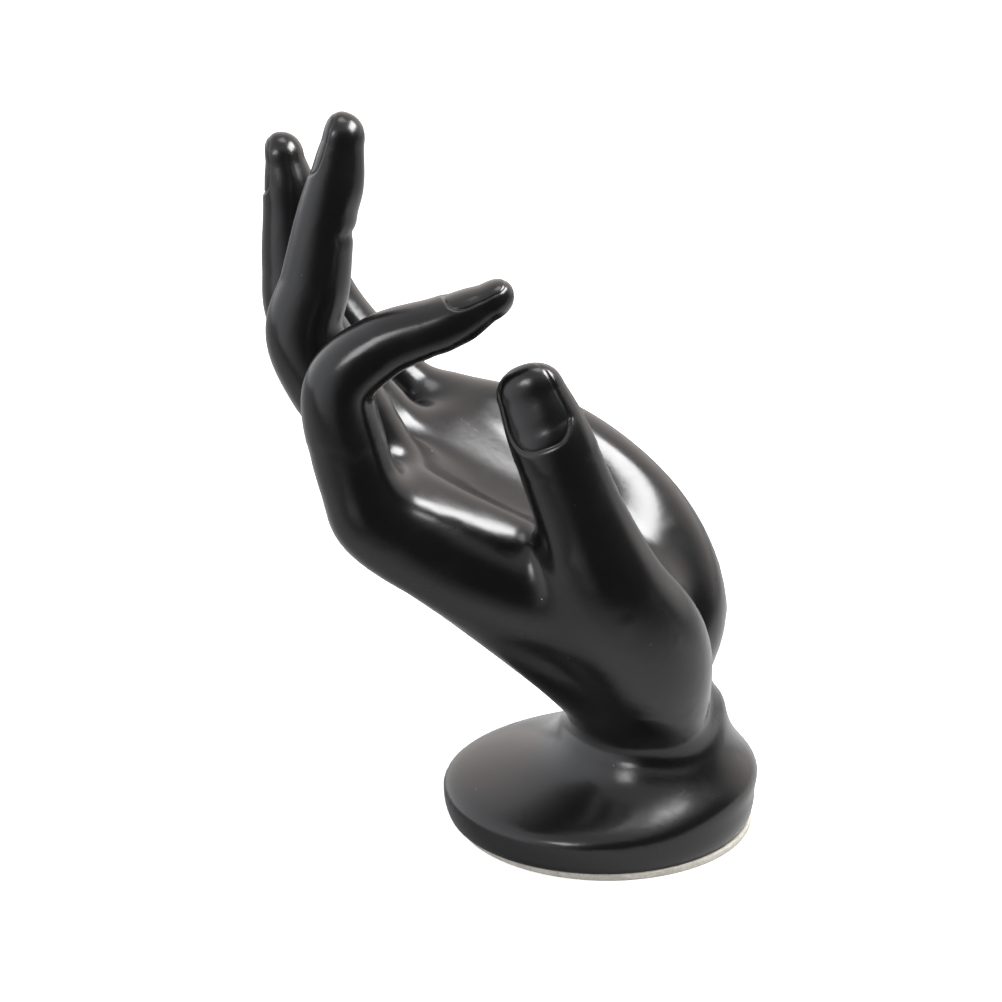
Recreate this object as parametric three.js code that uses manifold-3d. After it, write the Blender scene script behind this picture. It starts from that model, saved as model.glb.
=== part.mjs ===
import * as THREE from 'three';
import { mergeVertices } from 'three/addons/utils/BufferGeometryUtils.js';
import Module from 'manifold-3d';

// Ring display hand: a life-size left hand that grows out of a flared round foot, cast hollow in resin.
// The palm lies open and the fingers are half curled, so that rings and chains hang on them.
// Millimetres and degrees, +Z up. The origin is the centre of the underside, where the pad meets the table.
// X runs from the fingertips towards the heel of the hand, Y from the thumb towards the little finger.

// Pad, closing board and ballast under and inside the foot
const padThickness = 1.6;
const padSetback = 0.2;
const boardThickness = 2.4;
const boardRadius = 26;
const boardLedge = 3;
const fillHeight = 15;
const fitClearance = 0.3;

// Foot and wrist: a round foot whose flare runs up into the off-centre wrist
const footRadius = 34.9;
const footLowerRadius = 31.7;
const footBandHeight = 7;
const flareReach = 7.8;
const flarePower = 2.6;
const wristHalfWidth = 16.2;
const wristHalfDepth = 18.2;
const wristOffset = 10.2;
const wristHeight = 30;
const wristLean = 2.4;
const wristRise = 8;
const wristDome = 12;
const castingWall = 4.5;
const coreRise = 5;
const footSides = 44;
const footRings = 14;
const ringCrowding = 1.3;

// Hand skeleton. Its points are measured from the centre of the wrist, wristHeight above the table.
// Pitch is measured in the plane of the finger: 0 points along -X, 90 straight up.
// Splay swings a bone towards the little finger. Girth scales the finger sections below, and plump
// their pads. Bow arches the first two bones towards the back of the hand.
const fingers = {
  index: {
    knuckle: [-58.8, -21.4, 50.5],
    bones: [30.2, 23.5, 17.9],
    pitch: [77.5, 145.5, 154],
    splay: [-6, -1, 5],
    bow: [1.7, 2.5],
    girth: 0.98,
    plump: 0.97,
  },
  middle: {
    knuckle: [-56, -2, 49.5],
    bones: [38, 26, 23.8],
    pitch: [61.5, 99.5, 102],
    splay: [0, 2, 3],
    bow: [0.4, 0],
    girth: 1,
    plump: 1.14,
  },
  ring: {
    knuckle: [-52, 15.8, 49.1],
    bones: [39.6, 23.6, 17.6],
    pitch: [53.5, 83.2, 83.2],
    splay: [4, 5, 5],
    bow: [1.7, 0.8],
    girth: 0.95,
    plump: 1.1,
  },
  little: {
    knuckle: [-45.9, 33.2, 52.3],
    bones: [29, 19.8, 14.6],
    pitch: [46, 67, 76],
    splay: [6, 6, 5],
    bow: [0.8, 1.4],
    girth: 0.83,
    plump: 1,
  },
};
const thumb = {
  root: [1, -9, -1.2],
  bones: [39.7, 34.6, 19.6],
  pitch: [74, 70, 67.5],
  splay: [-22, -6, 6],
  ballShift: 3,
};

// Half sizes of a finger along its length: across, towards the back and towards the pad of the finger
const fingerSections = {
  root: { across: 9, back: 8.6, pad: 8.6 },
  knuckle: { across: 9.4, back: 8.9, pad: 8.5 },
  firstBone: { across: 8.6, back: 8.7, pad: 8.4 },
  middleJoint: { across: 8.4, back: 8, pad: 7.6 },
  secondBone: { across: 7.4, back: 6.9, pad: 7 },
  endJoint: { across: 6.8, back: 5.8, pad: 6.1 },
  nailBed: { across: 6.6, back: 4.9, pad: 6.3 },
  tip: { across: 5.4, back: 3.6, pad: 4.8 },
};
const thumbSections = {
  root: { across: 12.4, back: 12.6, pad: 11 },
  ball: { across: 14.2, back: 14, pad: 12 },
  knuckle: { across: 12.3, back: 12, pad: 11 },
  firstBone: { across: 9.7, back: 9.4, pad: 9 },
  endJoint: { across: 8.8, back: 7.8, pad: 7.8 },
  nailBed: { across: 8.3, back: 6.7, pad: 6.8 },
  tip: { across: 7.3, back: 5, pad: 5.6 },
};
const fingertipCap = 6.2;
const thumbtipCap = 6.2;
const rootInset = 9;

// Palm: a ray from the wrist to each of the first three knuckles, the heel along the outer edge, a web of
// flesh halfway between neighbours, two thick pads of flesh, and a cup sunk between the first ray and the heel.
// The palm leans back from level by palmLean, and a ray arches out of it.
const palmRays = {
  index: { wrist: [-5.8, -8, 3.4], girth: [9.8, 11, 10.8, 8.6], arch: 1.8 },
  middle: { wrist: [-5.8, 0, 0.5], girth: [11, 9.8, 8.9, 8.9], arch: 0 },
  ring: { wrist: [-3.4, 6, 1], girth: [11, 10.4, 9.2, 8.8], arch: 0 },
};
const heel = {
  wrist: { at: [0.8, 5, 1.8], across: 14.6, back: 13.6, pad: 12.2 },
  ball: { at: [4.4, 14, 15], across: 14, back: 13, pad: 14 },
  outerEdge: { at: [-2.6, 21.8, 32], across: 12.6, back: 12, pad: 12.6 },
  upperEdge: { at: [-20.7, 28.8, 47.1], across: 10.8, back: 10, pad: 10.8 },
  littleRoot: { at: [-43.2, 33.2, 54.4], across: 8.8, back: 8.2, pad: 8.2 },
};
// The pad across the middle of the palm, and the one that joins the root of the index finger to the thumb
const palmPads = {
  middle: {
    fingers: { at: [-41.2, 4, 40], across: 15, back: 9, pad: 9 },
    centre: { at: [-24.2, 4, 33.2], across: 15, back: 9, pad: 9 },
    wrist: { at: [-6.2, 2, 25], across: 14, back: 9, pad: 9 },
  },
  thumb: {
    fingers: { at: [-51.2, -14.5, 42], across: 13, back: 12, pad: 13 },
    centre: { at: [-34.2, -15.5, 33.5], across: 13.7, back: 12, pad: 13.7 },
    wrist: { at: [-16.2, -16, 25], across: 14, back: 12, pad: 14 },
  },
};
const palmYaw = 8;
const webReach = 0.94;
const webGirth = 0.95;
const webSteps = 4;
const palmLean = 25;
const palmCup = { bottom: [-24.2, 6, 41], along: 60, across: 26, out: 30 };

// Soft blends where the forms of the hand run into each other
const palmBlend = 5;
const cupRim = 6;
const fingerRootBlend = 4;
const fingerSideBlend = 0.8;
const thumbBlend = 7;
const sectionPower = 2.2;

// Finger nails
const nailLengths = { thumb: 15, index: 12, middle: 12, ring: 11, little: 9 };
const nailSpread = 62;
const nailProud = 0.5;
const nailRoot = 1.4;
const nailTipGap = 1.2;
const nailSquareness = 3.2;

// Fineness of the cast skin
const skinPitch = 3.6;
const curveSteps = 6;

const wasm = await Module();
wasm.setup();

// Turns a closed three.js geometry into a solid that can be joined and cut.
function toSolid(geometry) {
  const bare = geometry.clone();
  bare.deleteAttribute('normal');
  bare.deleteAttribute('uv');
  const merged = mergeVertices(bare, 1e-4);
  const vertProperties = new Float32Array(merged.attributes.position.array);
  const triVerts = new Uint32Array(merged.index.array);
  return new wasm.Manifold(new wasm.Mesh({ numProp: 3, vertProperties, triVerts }));
}

function toGeometry(solid) {
  const mesh = solid.getMesh();
  const geometry = new THREE.BufferGeometry();
  geometry.setAttribute('position', new THREE.BufferAttribute(new Float32Array(mesh.vertProperties), 3));
  geometry.setIndex(new THREE.BufferAttribute(new Uint32Array(mesh.triVerts), 1));
  geometry.computeVertexNormals();
  return geometry;
}

function indexedGeometry(positions, indices) {
  const geometry = new THREE.BufferGeometry();
  geometry.setAttribute('position', new THREE.Float32BufferAttribute(positions, 3));
  geometry.setIndex(indices);
  geometry.computeVertexNormals();
  return geometry;
}

// Skins a stack of rings, listed from the bottom up and anticlockwise from above, and closes both ends.
function loftRings(rings) {
  const sides = rings[0].length;
  const positions = rings.flat().flatMap((point) => point.toArray());
  const indices = [];
  for (let level = 0; level + 1 < rings.length; level++) {
    for (let side = 0; side < sides; side++) {
      const a = level * sides + side;
      const b = level * sides + ((side + 1) % sides);
      indices.push(a, b, b + sides, a, b + sides, a + sides);
    }
  }
  const sumOf = (ring) => ring.reduce((sum, point) => sum.add(point), new THREE.Vector3());
  const centreOf = (ring) => sumOf(ring).divideScalar(sides);
  const bottom = positions.length / 3;
  positions.push(...centreOf(rings[0]).toArray(), ...centreOf(rings[rings.length - 1]).toArray());
  const top = bottom + 1;
  const last = (rings.length - 1) * sides;
  for (let side = 0; side < sides; side++) {
    const next = (side + 1) % sides;
    indices.push(bottom, next, side, top, last + side, last + next);
  }
  return indexedGeometry(positions, indices);
}

// Closes a patch of outer points and the matching inner points into a thin curved plate.
function platePatch(outer, inner) {
  const rows = outer.length;
  const columns = outer[0].length;
  const positions = [...outer.flat(), ...inner.flat()].flatMap((point) => point.toArray());
  const under = rows * columns;
  const at = (row, column) => row * columns + column;
  const indices = [];
  const quad = (a, b, c, d) => indices.push(a, b, c, a, c, d);
  for (let row = 0; row + 1 < rows; row++) {
    for (let column = 0; column + 1 < columns; column++) {
      const corners = [at(row, column), at(row, column + 1), at(row + 1, column + 1), at(row + 1, column)];
      quad(...corners);
      quad(...corners.reverse().map((corner) => corner + under));
    }
    const left = [at(row + 1, 0), at(row, 0)];
    const right = [at(row, columns - 1), at(row + 1, columns - 1)];
    for (const [from, to] of [left, right]) {
      quad(to, from, from + under, to + under);
    }
  }
  for (let column = 0; column + 1 < columns; column++) {
    const near = [at(0, column), at(0, column + 1)];
    const far = [at(rows - 1, column + 1), at(rows - 1, column)];
    for (const [from, to] of [near, far]) {
      quad(to, from, from + under, to + under);
    }
  }
  return indexedGeometry(positions, indices);
}

// Foot: how far the flare is still open at a height, from 1 at the widest line to 0 in the wrist
function flareAt(z) {
  const rise = Math.max(0, z - footBandHeight);
  return 1 / (1 + (rise / flareReach) ** flarePower);
}

// Outline of the foot and wrist at a height, drawn in by an even inset
function footOutline(z, inset, limit = Infinity) {
  const flare = flareAt(z);
  const drop = Math.max(0, footBandHeight - z) / footBandHeight;
  const lip = footLowerRadius + (footRadius - footLowerRadius) * Math.sqrt(Math.max(0, 1 - drop * drop));
  const open = (slim) => (drop > 0 ? lip : slim + (footRadius - slim) * flare);
  return {
    centre: wristOffset * (1 - flare ** wristLean),
    halfWidth: Math.min(open(wristHalfWidth) - inset, limit),
    halfDepth: Math.min(open(wristHalfDepth) - inset, limit),
  };
}

// Ring at a height, drawn from the outline a roof's thickness above it, so that the flare keeps its wall
function footRing(z, { inset, roof, limit }, shrink) {
  const { centre, halfWidth, halfDepth } = footOutline(z + roof, inset, limit);
  return Array.from({ length: footSides }, (_, side) => {
    const turn = (side / footSides) * 2 * Math.PI;
    return new THREE.Vector3(
      centre + halfWidth * shrink * Math.cos(turn),
      halfDepth * shrink * Math.sin(turn),
      z,
    );
  });
}

// Stacks outlines of the foot from one height to another, rounding the top over by the dome height.
function footLoft(bottom, top, draw) {
  const rings = [];
  for (let level = 0; level <= footRings; level++) {
    const z = bottom + (top - bottom) * (level / footRings) ** ringCrowding;
    const over = Math.min(1, Math.max(0, (z - (top - wristDome)) / wristDome));
    rings.push(footRing(z, draw, Math.sqrt(Math.max(0.04, 1 - over * over))));
  }
  return loftRings(rings);
}

// A limb of the hand: a smooth centre line with a rounded section that changes along it.
// The distance it gives is negative inside and about true in millimetres near the skin.
class Limb {
  constructor(stations, sideAxis, endCap) {
    const points = stations.map((station) => new THREE.Vector3(...station.at));
    const line = new THREE.CatmullRomCurve3(points, false, 'catmullrom', 0.5);
    const spans = points.length - 1;
    this.count = spans * curveSteps + 1;
    this.samples = Array.from({ length: this.count }, (_, step) => {
      const along = step / (this.count - 1);
      const span = Math.min(spans - 1, Math.floor(along * spans));
      const part = along * spans - span;
      const ease = part * part * (3 - 2 * part);
      const blend = (size) => THREE.MathUtils.lerp(stations[span][size], stations[span + 1][size], ease);
      const tangent = line.getTangent(along);
      const side = sideAxis.clone().addScaledVector(tangent, -sideAxis.dot(tangent)).normalize();
      const back = new THREE.Vector3().crossVectors(side, tangent);
      return {
        at: line.getPoint(along), tangent, side, back,
        across: blend('across'), backSize: blend('back'), padSize: blend('pad'),
      };
    });
    const first = this.samples[0];
    this.caps = [Math.max(first.across, first.backSize), endCap];
    const reach = Math.max(...stations.flatMap((station) => [station.across, station.back, station.pad]));
    this.box = new THREE.Box3().setFromPoints(this.samples.map((sample) => sample.at));
    this.box.expandByScalar(reach);
    this.near = this.box.clone().expandByScalar(farAway);
  }

  // Frame and section at a fractional sample number along the limb
  frameAt(position) {
    const step = Math.min(this.count - 2, Math.floor(position));
    const part = position - step;
    const [from, to] = [this.samples[step], this.samples[step + 1]];
    const mix = (name) => from[name].clone().lerp(to[name], part);
    const size = (name) => THREE.MathUtils.lerp(from[name], to[name], part);
    return {
      at: mix('at'), tangent: mix('tangent'), side: mix('side'), back: mix('back'),
      across: size('across'), backSize: size('backSize'), padSize: size('padSize'),
    };
  }

  distance(point) {
    if (!this.near.containsPoint(point)) {
      return farAway;
    }
    let best = Infinity;
    let position = 0;
    for (let step = 0; step + 1 < this.count; step++) {
      const from = this.samples[step].at;
      const to = this.samples[step + 1].at;
      const [ex, ey, ez] = [to.x - from.x, to.y - from.y, to.z - from.z];
      const [px, py, pz] = [point.x - from.x, point.y - from.y, point.z - from.z];
      const part = Math.min(1, Math.max(0, (px * ex + py * ey + pz * ez) / (ex * ex + ey * ey + ez * ez)));
      const gap = (px - part * ex) ** 2 + (py - part * ey) ** 2 + (pz - part * ez) ** 2;
      if (gap < best) {
        best = gap;
        position = step + part;
      }
    }
    const frame = this.frameAt(position);
    const offset = point.clone().sub(frame.at);
    const raise = offset.dot(frame.back);
    const cap = this.caps[position < (this.count - 1) / 2 ? 0 : 1];
    const ratios = [
      offset.dot(frame.side) / frame.across,
      raise / (raise > 0 ? frame.backSize : frame.padSize),
      offset.dot(frame.tangent) / cap,
    ];
    const total = ratios.reduce((sum, ratio) => sum + Math.abs(ratio) ** sectionPower, 0);
    const share = total ** (1 / sectionPower);
    const length = offset.length();
    return share < 1e-6 ? -frame.padSize : Math.min(farAway, length - length / share);
  }
}
const farAway = 14;

function softUnion(a, b, reach) {
  const share = THREE.MathUtils.clamp(0.5 + (0.5 * (b - a)) / reach, 0, 1);
  return b * (1 - share) + a * share - reach * share * (1 - share);
}

// Direction of a bone from its pitch and splay
function boneDirection(pitch, splay) {
  const up = THREE.MathUtils.degToRad(pitch);
  const out = THREE.MathUtils.degToRad(splay);
  return new THREE.Vector3(-Math.cos(up) * Math.cos(out), Math.sin(out), Math.sin(up) * Math.cos(out));
}

// Place of a point that is measured from the centre of the wrist
function fromWrist([x, y, z]) {
  return new THREE.Vector3(wristOffset + x, y, wristHeight + z);
}

// Joints of a digit: its root, then the end of each bone
function jointsOf(root, { bones, pitch, splay }) {
  const joints = [fromWrist(root)];
  bones.forEach((bone, index) => {
    const end = joints[index].clone().addScaledVector(boneDirection(pitch[index], splay[index]), bone);
    joints.push(end);
  });
  return joints;
}

function station(at, section, girth, plump = 1) {
  return {
    at: at.toArray(),
    across: section.across * girth,
    back: section.back * girth,
    pad: section.pad * girth * plump,
  };
}

const half = (a, b) => a.clone().lerp(b, 0.5);
const palmSide = new THREE.Vector3(-Math.sin(THREE.MathUtils.degToRad(palmYaw)), -1, 0).normalize();
const palmTurn = THREE.MathUtils.degToRad(palmLean);
const palmOut = new THREE.Vector3(Math.sin(palmTurn), 0, Math.cos(palmTurn));
const thumbSide = new THREE.Vector3(1, -0.15, 0.3).normalize();

const backOf = (finger, bone) => (
  new THREE.Vector3().crossVectors(palmSide, boneDirection(finger.pitch[bone], finger.splay[bone]))
);

function fingerLimb(finger, ray) {
  const [knuckle, middleJoint, endJoint, tip] = jointsOf(finger.knuckle, finger);
  const cap = fingertipCap * finger.girth;
  const capStart = tip.clone().addScaledVector(boneDirection(finger.pitch[2], finger.splay[2]), -cap);
  const toWrist = fromWrist(ray).sub(knuckle).normalize();
  const places = {
    root: knuckle.clone().addScaledVector(toWrist, rootInset),
    knuckle,
    firstBone: half(knuckle, middleJoint).addScaledVector(backOf(finger, 0), finger.bow[0]),
    middleJoint,
    secondBone: half(middleJoint, endJoint).addScaledVector(backOf(finger, 1), finger.bow[1]),
    endJoint,
    nailBed: half(endJoint, capStart),
    tip: capStart,
  };
  const stations = Object.keys(fingerSections).map((name) => (
    station(places[name], fingerSections[name], finger.girth, finger.plump)
  ));
  return new Limb(stations, palmSide, cap);
}

function thumbLimb() {
  const [root, knuckle, endJoint, tip] = jointsOf(thumb.root, thumb);
  const capStart = tip.clone().addScaledVector(boneDirection(thumb.pitch[2], thumb.splay[2]), -thumbtipCap);
  const places = {
    root,
    ball: half(root, knuckle).addScaledVector(thumbSide, thumb.ballShift),
    knuckle,
    firstBone: half(knuckle, endJoint),
    endJoint,
    nailBed: half(endJoint, capStart),
    tip: capStart,
  };
  const stations = Object.keys(thumbSections).map((name) => station(places[name], thumbSections[name], 1));
  return new Limb(stations, thumbSide, thumbtipCap);
}

function palmRayLimb(ray, knuckle) {
  const from = fromWrist(ray.wrist);
  const to = fromWrist(knuckle);
  const steps = ray.girth.length - 1;
  const stations = ray.girth.map((girth, step) => {
    const at = from.clone().lerp(to, step / steps);
    at.addScaledVector(palmOut, ray.arch * Math.sin((Math.PI * step) / steps));
    return station(at, { across: 1, back: 1, pad: 1 }, girth);
  });
  return new Limb(stations, palmSide, ray.girth[steps]);
}

// Flesh through sections that are each given by place and size
function fleshLimb(forms) {
  const stations = Object.values(forms).map((form) => station(fromWrist(form.at), form, 1));
  return new Limb(stations, palmSide, stations[stations.length - 1].across);
}

// Flesh halfway between two neighbouring forms of the palm
function webLimb(first, second) {
  const stations = Array.from({ length: webSteps + 1 }, (_, step) => {
    const share = (step / webSteps) * webReach;
    const [one, other] = [first, second].map((limb) => limb.frameAt(share * (limb.count - 1)));
    const mean = (size) => (one[size] + other[size]) / 2;
    const section = { across: mean('across'), back: mean('backSize'), pad: mean('padSize') };
    return station(half(one.at, other.at), section, webGirth);
  });
  return new Limb(stations, palmSide, stations[webSteps].across);
}

// Cup of the palm: an ellipsoid that stands on its lowest point, square to the lie of the palm
function cupDistance(point) {
  const across = new THREE.Vector3(0, 1, 0);
  const along = new THREE.Vector3().crossVectors(across, palmOut);
  const offset = point.clone().sub(fromWrist(palmCup.bottom)).addScaledVector(palmOut, -palmCup.out);
  const share = Math.hypot(
    offset.dot(along) / palmCup.along,
    offset.dot(across) / palmCup.across,
    offset.dot(palmOut) / palmCup.out,
  );
  const length = offset.length();
  return share < 1e-6 ? -palmCup.across : THREE.MathUtils.clamp(length - length / share, -farAway, farAway);
}

const wristEnds = { ...palmRays, little: { wrist: heel.outerEdge.at } };
const fingerLimbs = Object.fromEntries(Object.entries(fingers).map(([name, finger]) => (
  [name, fingerLimb(finger, wristEnds[name].wrist)]
)));
const thumbForm = thumbLimb();
const rayForms = Object.entries(palmRays).map(([name, ray]) => palmRayLimb(ray, fingers[name].knuckle));
const heelForm = fleshLimb(heel);
const webForms = rayForms.map((form, index) => webLimb(form, rayForms[index + 1] ?? heelForm));
const padForms = Object.values(palmPads).map(fleshLimb);
const palmForms = [...rayForms.flatMap((form, index) => [form, webForms[index]]), ...padForms];

// Skin of the hand: the palm blended from its rays, webs and pads and cupped, then the heel, the fingers and
// the thumb blended on
function skinDistance(point) {
  const flat = palmForms.reduce((sum, form) => softUnion(sum, form.distance(point), palmBlend), farAway);
  const cupped = -softUnion(-flat, cupDistance(point), cupRim);
  const palm = softUnion(cupped, heelForm.distance(point), palmBlend);
  const spread = Object.values(fingerLimbs).reduce((sum, limb) => (
    softUnion(sum, limb.distance(point), fingerSideBlend)
  ), farAway);
  const open = softUnion(palm, spread, fingerRootBlend);
  return softUnion(open, thumbForm.distance(point), thumbBlend);
}

// Wraps a closed mesh round the region where the distance is negative, one cell of the grid at a time.
// Each separate piece of skin in a cell has its own point, so that thin gaps between fingers stay open.
function wrapSkin(distance, box, pitch) {
  const size = box.getSize(new THREE.Vector3());
  const counts = [size.x, size.y, size.z].map((length) => Math.ceil(length / pitch) + 1);
  const strides = [1, counts[0], counts[0] * counts[1]];
  const pointAt = (i, j, k) => new THREE.Vector3(i, j, k).multiplyScalar(pitch).add(box.min);
  const values = new Float64Array(counts[0] * counts[1] * counts[2]);
  for (let k = 0; k < counts[2]; k++) {
    for (let j = 0; j < counts[1]; j++) {
      for (let i = 0; i < counts[0]; i++) {
        values[i + j * strides[1] + k * strides[2]] = distance(pointAt(i, j, k));
      }
    }
  }
  const cornerOffset = (corner, axis) => (corner >> axis) & 1;
  const cornerStride = (corner) => [0, 1, 2].reduce((sum, axis) => (
    sum + cornerOffset(corner, axis) * strides[axis]
  ), 0);
  const cornerStrides = Array.from({ length: 8 }, (_, corner) => cornerStride(corner));
  const cellPoints = new Map();
  const positions = [];

  const joinCell = (i, j, k) => {
    const base = i + j * strides[1] + k * strides[2];
    const inside = cornerStrides.map((stride) => values[base + stride] < 0);
    if (inside.every(Boolean) || !inside.some(Boolean)) {
      return;
    }
    const group = [0, 1, 2, 3, 4, 5, 6, 7];
    const leads = () => group.filter((lead, corner) => inside[corner] && lead === corner);
    for (let pass = 0; pass < 3; pass++) {
      for (let corner = 0; corner < 8; corner++) {
        for (let axis = 0; axis < 3; axis++) {
          const other = corner ^ (1 << axis);
          if (inside[corner] && inside[other]) {
            group[corner] = group[other] = Math.min(group[corner], group[other]);
          }
        }
      }
    }
    for (const lead of leads()) {
      const middle = new THREE.Vector3();
      let crossings = 0;
      for (let corner = 0; corner < 8; corner++) {
        for (let axis = 0; axis < 3; axis++) {
          const other = corner ^ (1 << axis);
          if (group[corner] === lead && inside[corner] && !inside[other]) {
            const from = values[base + cornerStrides[corner]];
            const to = values[base + cornerStrides[other]];
            const place = [0, 1, 2].map((each) => cornerOffset(corner, each));
            place[axis] += (cornerOffset(other, axis) - place[axis]) * (from / (from - to));
            middle.add(new THREE.Vector3(...place));
            crossings++;
          }
        }
      }
      const spot = middle.divideScalar(crossings).add(new THREE.Vector3(i, j, k));
      const rough = spot.multiplyScalar(pitch).add(box.min);
      const point = leads().length > 1 ? rough : settle(distance, rough, pitch);
      for (let corner = 0; corner < 8; corner++) {
        if (inside[corner] && group[corner] === lead) {
          cellPoints.set(base * 8 + corner, positions.length / 3);
        }
      }
      positions.push(...point.toArray());
    }
  };
  for (let k = 0; k + 1 < counts[2]; k++) {
    for (let j = 0; j + 1 < counts[1]; j++) {
      for (let i = 0; i + 1 < counts[0]; i++) {
        joinCell(i, j, k);
      }
    }
  }

  const indices = [];
  const gap = (a, b) => Math.hypot(...[0, 1, 2].map((axis) => (
    positions[a * 3 + axis] - positions[b * 3 + axis]
  )));
  const faceAcross = (base, axis) => {
    const [second, third] = [(axis + 1) % 3, (axis + 2) % 3];
    const starts = values[base] < 0;
    if (starts === values[base + strides[axis]] < 0) {
      return;
    }
    const ring = [[0, 0], [1, 0], [1, 1], [0, 1]].map(([u, v]) => {
      const cell = base - u * strides[second] - v * strides[third];
      const corner = (starts ? 0 : 1 << axis) + (u << second) + (v << third);
      return cellPoints.get(cell * 8 + corner);
    });
    const [a, b, c, d] = starts ? ring : ring.reverse();
    if (gap(a, c) < gap(b, d)) {
      indices.push(a, b, c, a, c, d);
    } else {
      indices.push(a, b, d, b, c, d);
    }
  };
  for (let k = 1; k + 1 < counts[2]; k++) {
    for (let j = 1; j + 1 < counts[1]; j++) {
      for (let i = 1; i + 1 < counts[0]; i++) {
        [0, 1, 2].forEach((axis) => faceAcross(i + j * strides[1] + k * strides[2], axis));
      }
    }
  }
  return indexedGeometry(positions, indices);
}

// Moves a point near the skin onto it, by no more than a third of the grid pitch at a time.
function settle(distance, point, pitch) {
  const probe = 0.05;
  const axes = [new THREE.Vector3(1, 0, 0), new THREE.Vector3(0, 1, 0), new THREE.Vector3(0, 0, 1)];
  for (let pass = 0; pass < 2; pass++) {
    const slope = new THREE.Vector3(...axes.map((axis) => (
      (distance(point.clone().addScaledVector(axis, probe))
        - distance(point.clone().addScaledVector(axis, -probe))) / (2 * probe)
    )));
    const steep = Math.max(0.25, slope.lengthSq());
    point.addScaledVector(slope.multiplyScalar(-distance(point) / steep).clampLength(0, pitch / 3), 1);
  }
  return point;
}

// A nail: a curved plate on the back of the last bone, rounded at the cuticle and at its free edge
function nailPlate(limb, length, cap) {
  const rows = 7;
  const columns = 6;
  const end = limb.count - 1;
  const lastBone = 2 * curveSteps;
  const boneStep = limb.samples[end].at.distanceTo(limb.samples[end - lastBone].at) / lastBone;
  const free = end + (cap - nailTipGap) / boneStep;
  const cuticle = free - length / boneStep;
  const sheet = (lift) => Array.from({ length: rows + 1 }, (_, row) => {
    const share = row / rows;
    const position = THREE.MathUtils.lerp(cuticle, free, share);
    const frame = limb.frameAt(Math.min(position, end));
    const beyond = Math.max(0, position - end) * boneStep;
    const centre = frame.at.clone().addScaledVector(frame.tangent, beyond);
    const close = Math.sqrt(Math.max(0, 1 - (beyond / cap) ** 2));
    const round = (1 - Math.abs(2 * share - 1) ** nailSquareness) ** 0.5;
    const spread = THREE.MathUtils.degToRad(nailSpread) * Math.max(0.3, round);
    return Array.from({ length: columns + 1 }, (__, column) => {
      const turn = spread * (2 * (column / columns) - 1);
      const wide = Math.sign(turn) * Math.abs(Math.sin(turn)) ** (2 / sectionPower);
      const high = Math.cos(turn) ** (2 / sectionPower);
      return centre.clone()
        .addScaledVector(frame.side, wide * (frame.across * close + lift))
        .addScaledVector(frame.back, high * (frame.backSize * close + lift));
    });
  });
  return platePatch(sheet(nailProud), sheet(-nailRoot));
}

// Solid of revolution from a half profile that starts and ends on the axis
function turned(profile, sides) {
  return new THREE.LatheGeometry(profile.map(([radius, z]) => new THREE.Vector2(radius, z)), sides)
    .rotateX(Math.PI / 2);
}

function disc(radius, bottom, top) {
  return turned([[0, bottom], [radius, bottom], [radius, top], [0, top]], footSides);
}

// Heights of the closing board, its recess, the core above it and the end of the wrist inside the hand
const footBottom = padThickness;
const boardTop = footBottom + boardThickness;
const recessTop = boardTop + fitClearance;
const mouthRadius = boardRadius - boardLedge;
const fillBottom = recessTop + fitClearance;
const wristTop = wristHeight + wristRise;
const coreTop = wristHeight + coreRise;
const padRadius = footOutline(footBottom, 0).halfWidth - padSetback;

// Casting: hand, wrist and foot in one piece, hollow from the recess under the foot to the heel of the hand
const skinBox = new THREE.Box3();
const forms = [...Object.values(fingerLimbs), thumbForm, ...palmForms, heelForm];
forms.forEach((form) => skinBox.union(form.box));
skinBox.expandByScalar(2 * skinPitch);
const handSkin = toSolid(wrapSkin(skinDistance, skinBox, skinPitch));
const footSolid = toSolid(footLoft(footBottom, wristTop, { inset: 0, roof: 0, limit: Infinity }));
const nails = [
  nailPlate(thumbForm, nailLengths.thumb, thumbtipCap),
  ...Object.entries(fingers).map(([name, finger]) => (
    nailPlate(fingerLimbs[name], nailLengths[name], fingertipCap * finger.girth)
  )),
].map(toSolid);
const core = toSolid(footLoft(boardTop, coreTop, {
  inset: castingWall, roof: castingWall, limit: mouthRadius,
}));
const recess = toSolid(disc(boardRadius + fitClearance, footBottom - fitClearance, recessTop));
const cast = nails.reduce((sum, nail) => sum.add(nail), handSkin.add(footSolid));
const casting = cast.subtract(core).subtract(recess);

// Ballast: the lower part of the core, poured in and left clear of the wall and the board
const pour = toSolid(footLoft(boardTop, coreTop, {
  inset: castingWall + fitClearance, roof: castingWall, limit: mouthRadius - fitClearance,
}));
const ballast = pour.intersect(toSolid(disc(footRadius, fillBottom, fillBottom + fillHeight)));

// Pieces
const lacquer = new THREE.MeshStandardMaterial({ color: 0x141416, roughness: 0.22, metalness: 0 });
const plaster = new THREE.MeshStandardMaterial({ color: 0xd8d3c6, roughness: 0.9, metalness: 0 });
const greyboard = new THREE.MeshStandardMaterial({ color: 0x9b8f7d, roughness: 0.85, metalness: 0 });
const felt = new THREE.MeshStandardMaterial({ color: 0xcfc8bc, roughness: 1, metalness: 0 });

function piece(name, geometry, material) {
  const mesh = new THREE.Mesh(geometry, material);
  mesh.name = name;
  return mesh;
}

const hand = new THREE.Group();
hand.add(piece('hand_casting', toGeometry(casting), lacquer));
hand.add(piece('ballast_plug', toGeometry(ballast), plaster));
hand.add(piece('closing_board', disc(boardRadius, footBottom, boardTop), greyboard));
hand.add(piece('base_pad', disc(padRadius, 0, padThickness), felt));

export default hand;
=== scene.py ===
import math

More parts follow.
